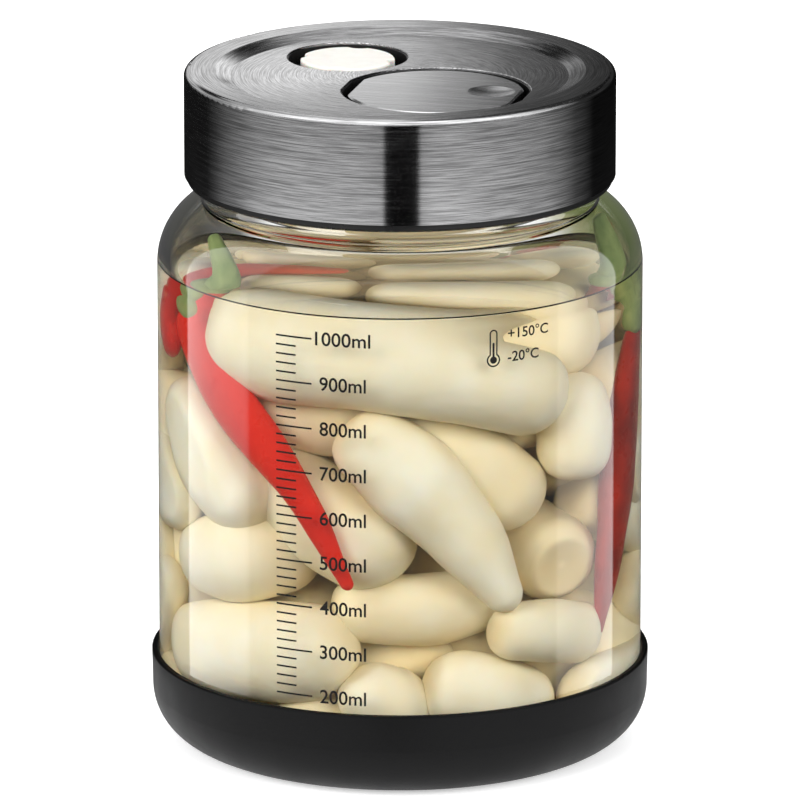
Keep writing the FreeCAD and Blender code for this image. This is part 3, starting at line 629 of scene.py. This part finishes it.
for step in range(PACK_STEPS):
    reach = (halves - fats * 0.6)[:, None] * steps_along
    spots = (middles[:, None, :] + ways[:, None, :] * reach[:, :, None]).reshape(-1, 3)
    push = np.zeros_like(spots)
    for others, other_sizes, give, same in ((spots, sizes, 0.5, True),
                                            (fixed_spots, fixed_sizes, 1.0, False)):
        gap = spots[:, None, :] - others[None, :, :]
        away = np.linalg.norm(gap, axis=2) + 1e-6
        overlap = np.maximum(0, sizes[:, None] + other_sizes[None, :] - away)
        if same:
            overlap[owner[:, None] == owner[None, :]] = 0
        push += (gap / away[:, :, None] * overlap[:, :, None]).sum(1) * give
    out = np.hypot(spots[:, 0], spots[:, 1])
    over = np.maximum(0, out + sizes - PACK_RADIUS)
    push[:, 0] -= spots[:, 0] / np.maximum(out, 1) * over * WALL_PUSH
    push[:, 1] -= spots[:, 1] / np.maximum(out, 1) * over * WALL_PUSH
    push[:, 2] += np.maximum(0, PACK_FLOOR + sizes - spots[:, 2]) * WALL_PUSH
    push[:, 2] -= np.maximum(0, spots[:, 2] + sizes - PACK_TOP) * WALL_PUSH
    push = push.reshape(-1, SPHERES, 3)
    middles = middles + push.mean(1) * 0.45
    turn = np.cross(ways[:, None, :] * reach[:, :, None], push).mean(1)
    ways = ways + np.cross(turn, ways) * 0.9 / (halves[:, None] ** 2)
    ways = ways / np.linalg.norm(ways, axis=1)[:, None]

shoots, tones = [], []
SHOOT_SIDES = 30
for number, (line, widths) in enumerate(FRONT_SHOOTS):
    shoots.append(plump_body(line, widths, number + 1, crater=3.5 if number == 8 else 0.5))
    tones.append(float(rng.uniform(0.2, 0.8)))
for k in range(len(heap)):
    middle, way, half, fat = middles[k], ways[k], halves[k], fats[k]
    outward = np.array([middle[0], middle[1], 0.0])
    outward = outward / max(np.linalg.norm(outward), 1)
    bend = outward * rng.uniform(0.5, 3.0)
    line = [middle - way * half - bend * 0.6, middle + bend, middle + way * half - bend * 0.6]
    shoots.append(plump_body(line, [fat * 0.82, fat, fat * 0.95, fat * 0.6], 40 + k, crater=0.6,
                             rings=32))
    tones.append(float(rng.uniform(0.0, 1.0)))
shoot_mesh = join_bodies("pickled_shoots", shoots, tones, SHOOT_SIDES)

shoot_finish, tree, shader = start_finish(
    "pickled_shoot_flesh", (0.88, 0.85, 0.70), 0.42, Specular_IOR_Level=0.25, Subsurface_Weight=0.25,
    Subsurface_Scale=0.003)
shader.inputs["Subsurface Radius"].default_value = (1.0, 0.6, 0.3)
own = add_node(tree, "ShaderNodeAttribute", out=2, attribute_name="own_tone")
far = add_node(tree, "ShaderNodeAttribute", out=2, attribute_name="length_share")
flesh = mix_colours(tree, own, (0.88, 0.82, 0.64), (0.94, 0.91, 0.77))
blotch = blend_range(tree, speckle(tree, 90, 4), 0.0, 1.0)
flesh = mix_colours(tree, blotch, flesh, (0.88, 0.79, 0.56))
# Painted shade: the cut end of each shoot, where its hollow lies, is painted darker and browner in place
# of shading by the light.
tip = add_node(tree, "ShaderNodeMapRange", {"Value": far, "From Min": 0.0, "From Max": 0.10,
                                            "To Min": 0.55, "To Max": 0.0})
flesh = mix_colours(tree, tip, flesh, (0.70, 0.57, 0.32))
tree.links.new(flesh, shader.inputs["Base Color"])
tree.links.new(blend_range(tree, speckle(tree, 300, 3), 0.32, 0.5), shader.inputs["Roughness"])
roughen(tree, shader, speckle(tree, 300, 1), 0.00015)
new_piece("pickled_shoots", shoot_mesh, shoot_finish, "jar")


# Lid shell. Stainless sheet, half a millimetre thick, spun into a shallow cap with a sunk top and
# rolled edge, then brushed on the lathe, so that the scratches run round the axis.

FLAP_TURN = -13.6


def brushed_steel(name, round_axis=True, pale=0.82, dark=0.32):
    """Brushed stainless steel, with its scratches round the axis or in straight lines."""
    finish, tree, shader = start_finish(name, (0.55, 0.55, 0.56), 0.18, Metallic=1.0, Anisotropic=0.95)
    place = position(tree)
    parts = tree.nodes.new("ShaderNodeSeparateXYZ")
    tree.links.new(place, parts.inputs[0])
    x, y, z = parts.outputs

    def sums(operation, one, two=None):
        return add_node(tree, "ShaderNodeMath", {0: one, **({1: two} if two is not None else {})},
                        operation=operation)

    if round_axis:
        away = sums("SQRT", sums("ADD", sums("MULTIPLY", x, x), sums("MULTIPLY", y, y)))
        across = sums("SUBTRACT", z, away)
        along = [sums("DIVIDE", x, away), sums("DIVIDE", y, away)]
        lengthways, crossways = 3.2, 6500.0
        shader.inputs["Anisotropic Rotation"].default_value = 0.25
        brushed_way = add_node(tree, "ShaderNodeTangent", direction_type="RADIAL", axis="Z")
        tree.links.new(brushed_way, shader.inputs["Tangent"])
    else:
        turn = math.radians(FLAP_TURN)
        across = sums("SUBTRACT", sums("MULTIPLY", y, math.cos(turn)),
                      sums("MULTIPLY", x, math.sin(turn)))
        along = [sums("ADD", sums("MULTIPLY", x, math.cos(turn)),
                      sums("MULTIPLY", y, math.sin(turn))), z]
        lengthways, crossways = 35.0, 1900.0
        sideways = tree.nodes.new("ShaderNodeCombineXYZ")
        sideways.inputs[0].default_value = -math.sin(turn)
        sideways.inputs[1].default_value = math.cos(turn)
        brushed_way = add_node(tree, "ShaderNodeVectorTransform", {"Vector": sideways.outputs[0]},
                               vector_type="VECTOR", convert_from="OBJECT", convert_to="WORLD")
        tree.links.new(brushed_way, shader.inputs["Tangent"])

    def scratches(long_scale, cross_scale, detail):
        vector = tree.nodes.new("ShaderNodeCombineXYZ")
        tree.links.new(sums("MULTIPLY", along[0], long_scale), vector.inputs[0])
        tree.links.new(sums("MULTIPLY", along[1], long_scale), vector.inputs[1])
        tree.links.new(sums("MULTIPLY", across, cross_scale), vector.inputs[2])
        return speckle(tree, 1.0, detail, vector.outputs[0], 0.6)

    fine = scratches(lengthways * 2.0, crossways * 0.75, 2)
    broad = scratches(lengthways, crossways * 0.5, 3)
    both = sums("ADD", sums("MULTIPLY", fine, 0.45), sums("MULTIPLY", broad, 0.55))
    streaks = add_node(tree, "ShaderNodeMapRange", {"Value": both, "From Min": 0.40, "From Max": 0.60,
                                                    "To Min": 0.0, "To Max": 1.0})
    tree.links.new(mix_colours(tree, streaks, (dark, dark, dark * 1.01),
                               (pale, pale, pale * 1.01)), shader.inputs["Base Color"])
    tree.links.new(blend_range(tree, broad, 0.13, 0.19), shader.inputs["Roughness"])
    roughen(tree, shader, both, 0.000007)
    return finish


dress("lid_shell", brushed_steel("brushed_round_steel"))


# Lid liner. Black polypropylene, moulded, that carries the screw thread and the seal, and holds the
# shell by its edge. The well of the valve and the pocket of the flap are part of it.

black_plastic, tree, shader = start_finish("satin_black_plastic", (0.008, 0.008, 0.008), 0.32,
                                           Specular_IOR_Level=0.3)
tree.links.new(mix_colours(tree, speckle(tree, 70, 2), (0.005, 0.005, 0.005), (0.011, 0.011, 0.011)),
               shader.inputs["Base Color"])
tree.links.new(blend_range(tree, speckle(tree, 160, 3), 0.24, 0.38), shader.inputs["Roughness"])
roughen(tree, shader, speckle(tree, 1800, 3), 0.00001)
dress("lid_liner", black_plastic)
dress("flap_core", black_plastic)


# Valve cap. Soft white silicone, moulded with four finger notches, pressed over the vent in the well
# of the lid, where it lets gas out and no air in.

white_silicone, tree, shader = start_finish(
    "white_silicone", (0.74, 0.73, 0.69), 0.45, Subsurface_Weight=0.25, Subsurface_Scale=0.002)
tree.links.new(mix_colours(tree, speckle(tree, 260, 3), (0.77, 0.76, 0.72), (0.66, 0.64, 0.59)),
               shader.inputs["Base Color"])
tree.links.new(blend_range(tree, speckle(tree, 500, 3), 0.38, 0.52), shader.inputs["Roughness"])
roughen(tree, shader, speckle(tree, 1500, 3), 0.00003)
dress("valve_cap", white_silicone)


# Flap. A plate of the same steel, brushed in straight lines before it was punched, with a dimple
# pressed for the finger, snapped on a black core that tips about a ground steel pin.

# Painted highlight: the flap's steel has a paler base colour than the shell's, so that its reflection
# shows brighter than the same steel would.
dress("flap_plate", brushed_steel("brightened_straight_steel", round_axis=False, pale=0.92, dark=0.70))
ground_steel, tree, shader = start_finish("ground_steel", (0.56, 0.56, 0.57), 0.22, Metallic=1.0)
tree.links.new(mix_colours(tree, speckle(tree, 900, 2), (0.50, 0.50, 0.51), (0.62, 0.62, 0.63)),
               shader.inputs["Base Color"])
tree.links.new(blend_range(tree, speckle(tree, 2500, 2), 0.18, 0.3), shader.inputs["Roughness"])
dress("flap_pin", ground_steel)


# Floor and room. A smooth pale table top of painted board, that runs on far under the jar and keeps
# its shadow, in a white room that lights the jar evenly from all round.

scene = bpy.context.scene
scene.view_settings.view_transform = "Standard"
floor_mesh = bpy.data.meshes.new("floor")
reach = 6.0
floor_mesh.from_pydata([(-reach, -reach, 0), (reach, -reach, 0), (reach, reach, 0), (-reach, reach, 0)],
                       [], [(0, 1, 2, 3)])
floor = bpy.data.objects.new("floor", floor_mesh)
floor.location.z = -0.0002
scene.collection.objects.link(floor)
pale_floor, tree, shader = start_finish("pale_floor", (0.82, 0.82, 0.82), 0.6, Specular_IOR_Level=0.2)
tree.links.new(mix_colours(tree, speckle(tree, 30, 4), (0.80, 0.80, 0.80), (0.83, 0.83, 0.83)),
               shader.inputs["Base Color"])


def background_rays(tree):
    """1 for rays that show the background as the eye sees it, 0 for rays that light the object."""
    path = tree.nodes.new("ShaderNodeLightPath")
    seen = add_node(tree, "ShaderNodeMath", {0: path.outputs["Is Camera Ray"],
                                             1: path.outputs["Is Glossy Ray"]}, operation="MAXIMUM")
    seen = add_node(tree, "ShaderNodeMath", {0: seen, 1: path.outputs["Is Transmission Ray"]},
                    operation="MAXIMUM")
    first = add_node(tree, "ShaderNodeMath", {0: path.outputs["Diffuse Depth"], 1: 0.5},
                     operation="LESS_THAN")
    return add_node(tree, "ShaderNodeMath", {0: seen, 1: first}, operation="MULTIPLY")


FLOOR_LIFT = 0.45
lift = add_node(tree, "ShaderNodeMath", {0: background_rays(tree), 1: FLOOR_LIFT}, operation="MULTIPLY")
shader.inputs["Emission Color"].default_value = (1, 1, 1, 1)
tree.links.new(lift, shader.inputs["Emission Strength"])
floor_mesh.materials.append(pale_floor)
floor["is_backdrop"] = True

AMBIENT = 0.75
world = bpy.data.worlds.new("studio")
scene.world = world
world.use_nodes = True
tree = world.node_tree
backdrop = tree.nodes["Background"]
backdrop.inputs["Color"].default_value = (1, 1, 1, 1)
level = add_node(tree, "ShaderNodeMapRange", {"Value": background_rays(tree), "From Min": 0.0,
                                              "From Max": 1.0, "To Min": AMBIENT, "To Max": 1.0})
tree.links.new(level, backdrop.inputs["Strength"])


# Reflecting cards. Pale and black cards stand in a ring close round the jar for shiny things to mirror:
# two broad pale ones in front with a narrow black gap between them, black at the sides, pale behind.
# The glass mirrors bright strips at its two sides instead. Rays that pass through the glass see a painted
# view
# on the ring: painted shade at the sides, white behind, and a painted straw tone on its upper part.

CARD_RING, CARD_TOP = 0.10, 0.40
card_steps = 180
card_points, card_faces = [], []
for height in (0.0, 0.17, CARD_TOP):
    for k in range(card_steps):
        a = 2 * math.pi * k / card_steps
        card_points.append((CARD_RING * math.sin(a), -CARD_RING * math.cos(a), height))
for row in range(2):
    for k in range(card_steps):
        n = (k + 1) % card_steps
        a, b = row * card_steps, (row + 1) * card_steps
        card_faces.append((a + k, b + k, b + n, a + n))
card_faces.append(tuple(2 * card_steps + k for k in range(card_steps)))
card_mesh = bpy.data.meshes.new("cards")
card_mesh.from_pydata(card_points, [], card_faces)
cards = bpy.data.objects.new("cards", card_mesh)
scene.collection.objects.link(cards)
card_paint = bpy.data.materials.new("card_paint")
card_paint.use_nodes = True
tree = card_paint.node_tree
tree.nodes.remove(tree.nodes["Principled BSDF"])
parts = tree.nodes.new("ShaderNodeSeparateXYZ")
tree.links.new(position(tree), parts.inputs[0])
x, y, z = parts.outputs
back_y = add_node(tree, "ShaderNodeMath", {0: y, 1: -1.0}, operation="MULTIPLY")
bearing = add_node(tree, "ShaderNodeMath", {0: x, 1: back_y}, operation="ARCTAN2")
turned = add_node(tree, "ShaderNodeMapRange", {"Value": bearing, "From Min": -math.pi,
                                               "From Max": math.pi, "To Min": 0.0, "To Max": 1.0})


def card_levels(stops):
    """Levels round the ring. Each stop is a bearing in degrees, right of the front, and a grey or a
    colour."""
    ramp = tree.nodes.new("ShaderNodeValToRGB")
    bands = ramp.color_ramp.elements
    for bearing_deg, level in stops[1:-1]:
        bands.new((bearing_deg + 180) / 360)
    for band, (bearing_deg, level) in zip(bands, stops):
        band.position = (bearing_deg + 180) / 360
        colour = level if isinstance(level, tuple) else (level, level, level)
        band.color = (*colour, 1)
    tree.links.new(turned, ramp.inputs[0])
    return ramp.outputs[0]


low_bands = card_levels([(-180, 0.80), (-166, 0.70), (-156, 0.10), (-150, 0.01), (-98, 0.02),
                         (-90, 0.09), (-76, 0.34), (-57, 0.72), (-38, 0.86), (-18, 0.84),
                         (-6.2, 0.66), (-5.6, 0.001), (7.0, 0.001), (7.6, 0.72), (14, 0.95),
                         (28, 0.88), (38, 0.76), (48, 0.66), (63, 0.52), (83, 0.12), (98, 0.01),
                         (150, 0.01), (156, 0.10), (166, 0.60), (180, 0.80)])
high_cards = card_levels([(-180, 0.80), (-166, 1.0), (-150, 0.75), (-110, 0.50), (-60, 0.35), (0, 0.15),
                          (60, 0.05), (120, 0.03), (150, 0.04), (164, 0.15), (173, 0.45), (180, 0.80)])
glass_cards = card_levels([(-180, 0.05), (-91.0, 0.04), (-90.4, 0.95), (-74, 0.70), (-56.5, 0.55),
                           (-55.5, 0.10), (0, 0.03), (57.5, 0.10), (58.5, 0.55), (74, 0.70),
                           (92.0, 0.95), (92.6, 0.04), (180, 0.05)])


def rises(value, low, high, top=1.0):
    """0 below the low value and 1, or another top, above the high one."""
    return add_node(tree, "ShaderNodeMapRange", {"Value": value, "From Min": low, "From Max": high,
                                                 "To Min": 0.0, "To Max": top})


low_cards = mix_colours(tree, rises(z, 0.108, 0.152, 0.58), low_bands, (0.0, 0.0, 0.0))
card_colour = mix_colours(tree, rises(z, 0.168, 0.174), low_cards, high_cards)
dark_band = add_node(tree, "ShaderNodeMath", {0: rises(z, 0.194, 0.204), 1: rises(z, 0.232, 0.222)},
                     operation="MULTIPLY")
dark_band = add_node(tree, "ShaderNodeMath", {0: dark_band, 1: rises(y, 0.0, 0.05)}, operation="MULTIPLY")
card_colour = mix_colours(tree, dark_band, card_colour, (0.01, 0.01, 0.01))
brow = add_node(tree, "ShaderNodeMath", {0: rises(z, 0.180, 0.186), 1: rises(back_y, 0.0, 0.06)},
                operation="MULTIPLY")
card_colour = mix_colours(tree, brow, card_colour, (1.6, 1.6, 1.6))
# Painted view through the glass: rays that pass out through the glass see painted shade at the sides of
# the jar and white behind it.
through_low = card_levels([(-180, 1.0), (-160, 1.0), (-156, 0.20), (-146, 0.04), (-60, 0.05), (0, 0.25),
                           (60, 0.05), (146, (0.12, 0.15, 0.05)), (153, (0.38, 0.39, 0.22)), (158, 1.0),
                           (180, 1.0)])
# Painted straw tone and painted shade, seen through the shoulder above the brine.
straw, dull_straw = (0.60, 0.48, 0.29), (0.45, 0.37, 0.23)
through_high = card_levels([(-180, straw), (-166, straw), (-150, (0.06, 0.06, 0.05)), (-60, 0.05),
                            (-25, dull_straw), (25, dull_straw), (60, 0.05), (120, (0.08, 0.11, 0.03)),
                            (150, (0.16, 0.20, 0.06)), (166, straw), (180, straw)])
through_colour = mix_colours(tree, rises(z, 0.110, 0.122), through_low, through_high)
steel_glow = add_node(tree, "ShaderNodeEmission", {"Color": card_colour, "Strength": 1.0})
glass_glow = add_node(tree, "ShaderNodeEmission", {"Color": glass_cards, "Strength": 3.2})
glow = tree.nodes.new("ShaderNodeMixShader")
tree.links.new(add_node(tree, "ShaderNodeLightPath", out=4), glow.inputs[0])
tree.links.new(steel_glow, glow.inputs[1])
tree.links.new(glass_glow, glow.inputs[2])
through_glow = add_node(tree, "ShaderNodeEmission", {"Color": through_colour, "Strength": 1.0})
sight = tree.nodes.new("ShaderNodeMixShader")
tree.links.new(add_node(tree, "ShaderNodeLightPath", out=6), sight.inputs[0])
tree.links.new(glow.outputs[0], sight.inputs[1])
tree.links.new(through_glow, sight.inputs[2])
tree.links.new(sight.outputs[0], tree.nodes["Material Output"].inputs["Surface"])
card_mesh.materials.append(card_paint)
for ray in ("camera", "diffuse", "shadow", "volume_scatter"):
    setattr(cards, "visible_" + ray, False)
cards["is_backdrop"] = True


# Lamps. Two large soft lamps stand in front, a little above the jar, weaker ones at the sides, behind
# and overhead. The cards are what shiny things mirror, so the lamps are kept out of reflections.

LAMP_AIM = (0, 0, 0.08)


def soft_lamp(name, place, across, power):
    """A soft square lamp, turned towards the middle of the jar."""
    light = bpy.data.lights.new(name, "AREA")
    light.shape = "SQUARE"
    light.size = across
    light.energy = power
    lamp = bpy.data.objects.new(name, light)
    scene.collection.objects.link(lamp)
    lamp.location = place
    lamp.rotation_euler = (Vector(LAMP_AIM) - Vector(place)).to_track_quat("-Z", "Y").to_euler()
    lamp.visible_glossy = False
    lamp.visible_camera = False
    lamp.visible_transmission = False


soft_lamp("front_left", (-0.8, -1.3, 0.80), 0.9, 20.5)
soft_lamp("front_right", (0.8, -1.3, 0.70), 0.9, 17.0)
soft_lamp("side_left", (-1.5, -0.1, 0.40), 0.6, 13.0)
soft_lamp("side_right", (1.5, -0.1, 0.40), 0.6, 8.0)
soft_lamp("back", (0.0, 1.6, 0.60), 0.9, 12.0)
soft_lamp("above", (0.0, 0.1, 1.4), 1.0, 0.5)


# Camera. It stands straight in front and a little above the lid, far back on its tripod with a long
# lens, so that upright lines stay almost upright.

view = bpy.data.cameras.new("view")
view.sensor_width = 36.0
view.lens = 473.4
view.clip_start, view.clip_end = 0.1, 20.0
camera = bpy.data.objects.new("view", view)
scene.collection.objects.link(camera)
camera.location = (0.0, -2.4088, 0.7510)
camera.rotation_euler = (Vector((0, 0, 0.082)) - camera.location).to_track_quat("-Z", "Y").to_euler()
scene.camera = camera
scene.cycles.use_denoising = True
scene.cycles.caustics_reflective = False
scene.cycles.caustics_refractive = False

low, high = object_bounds()
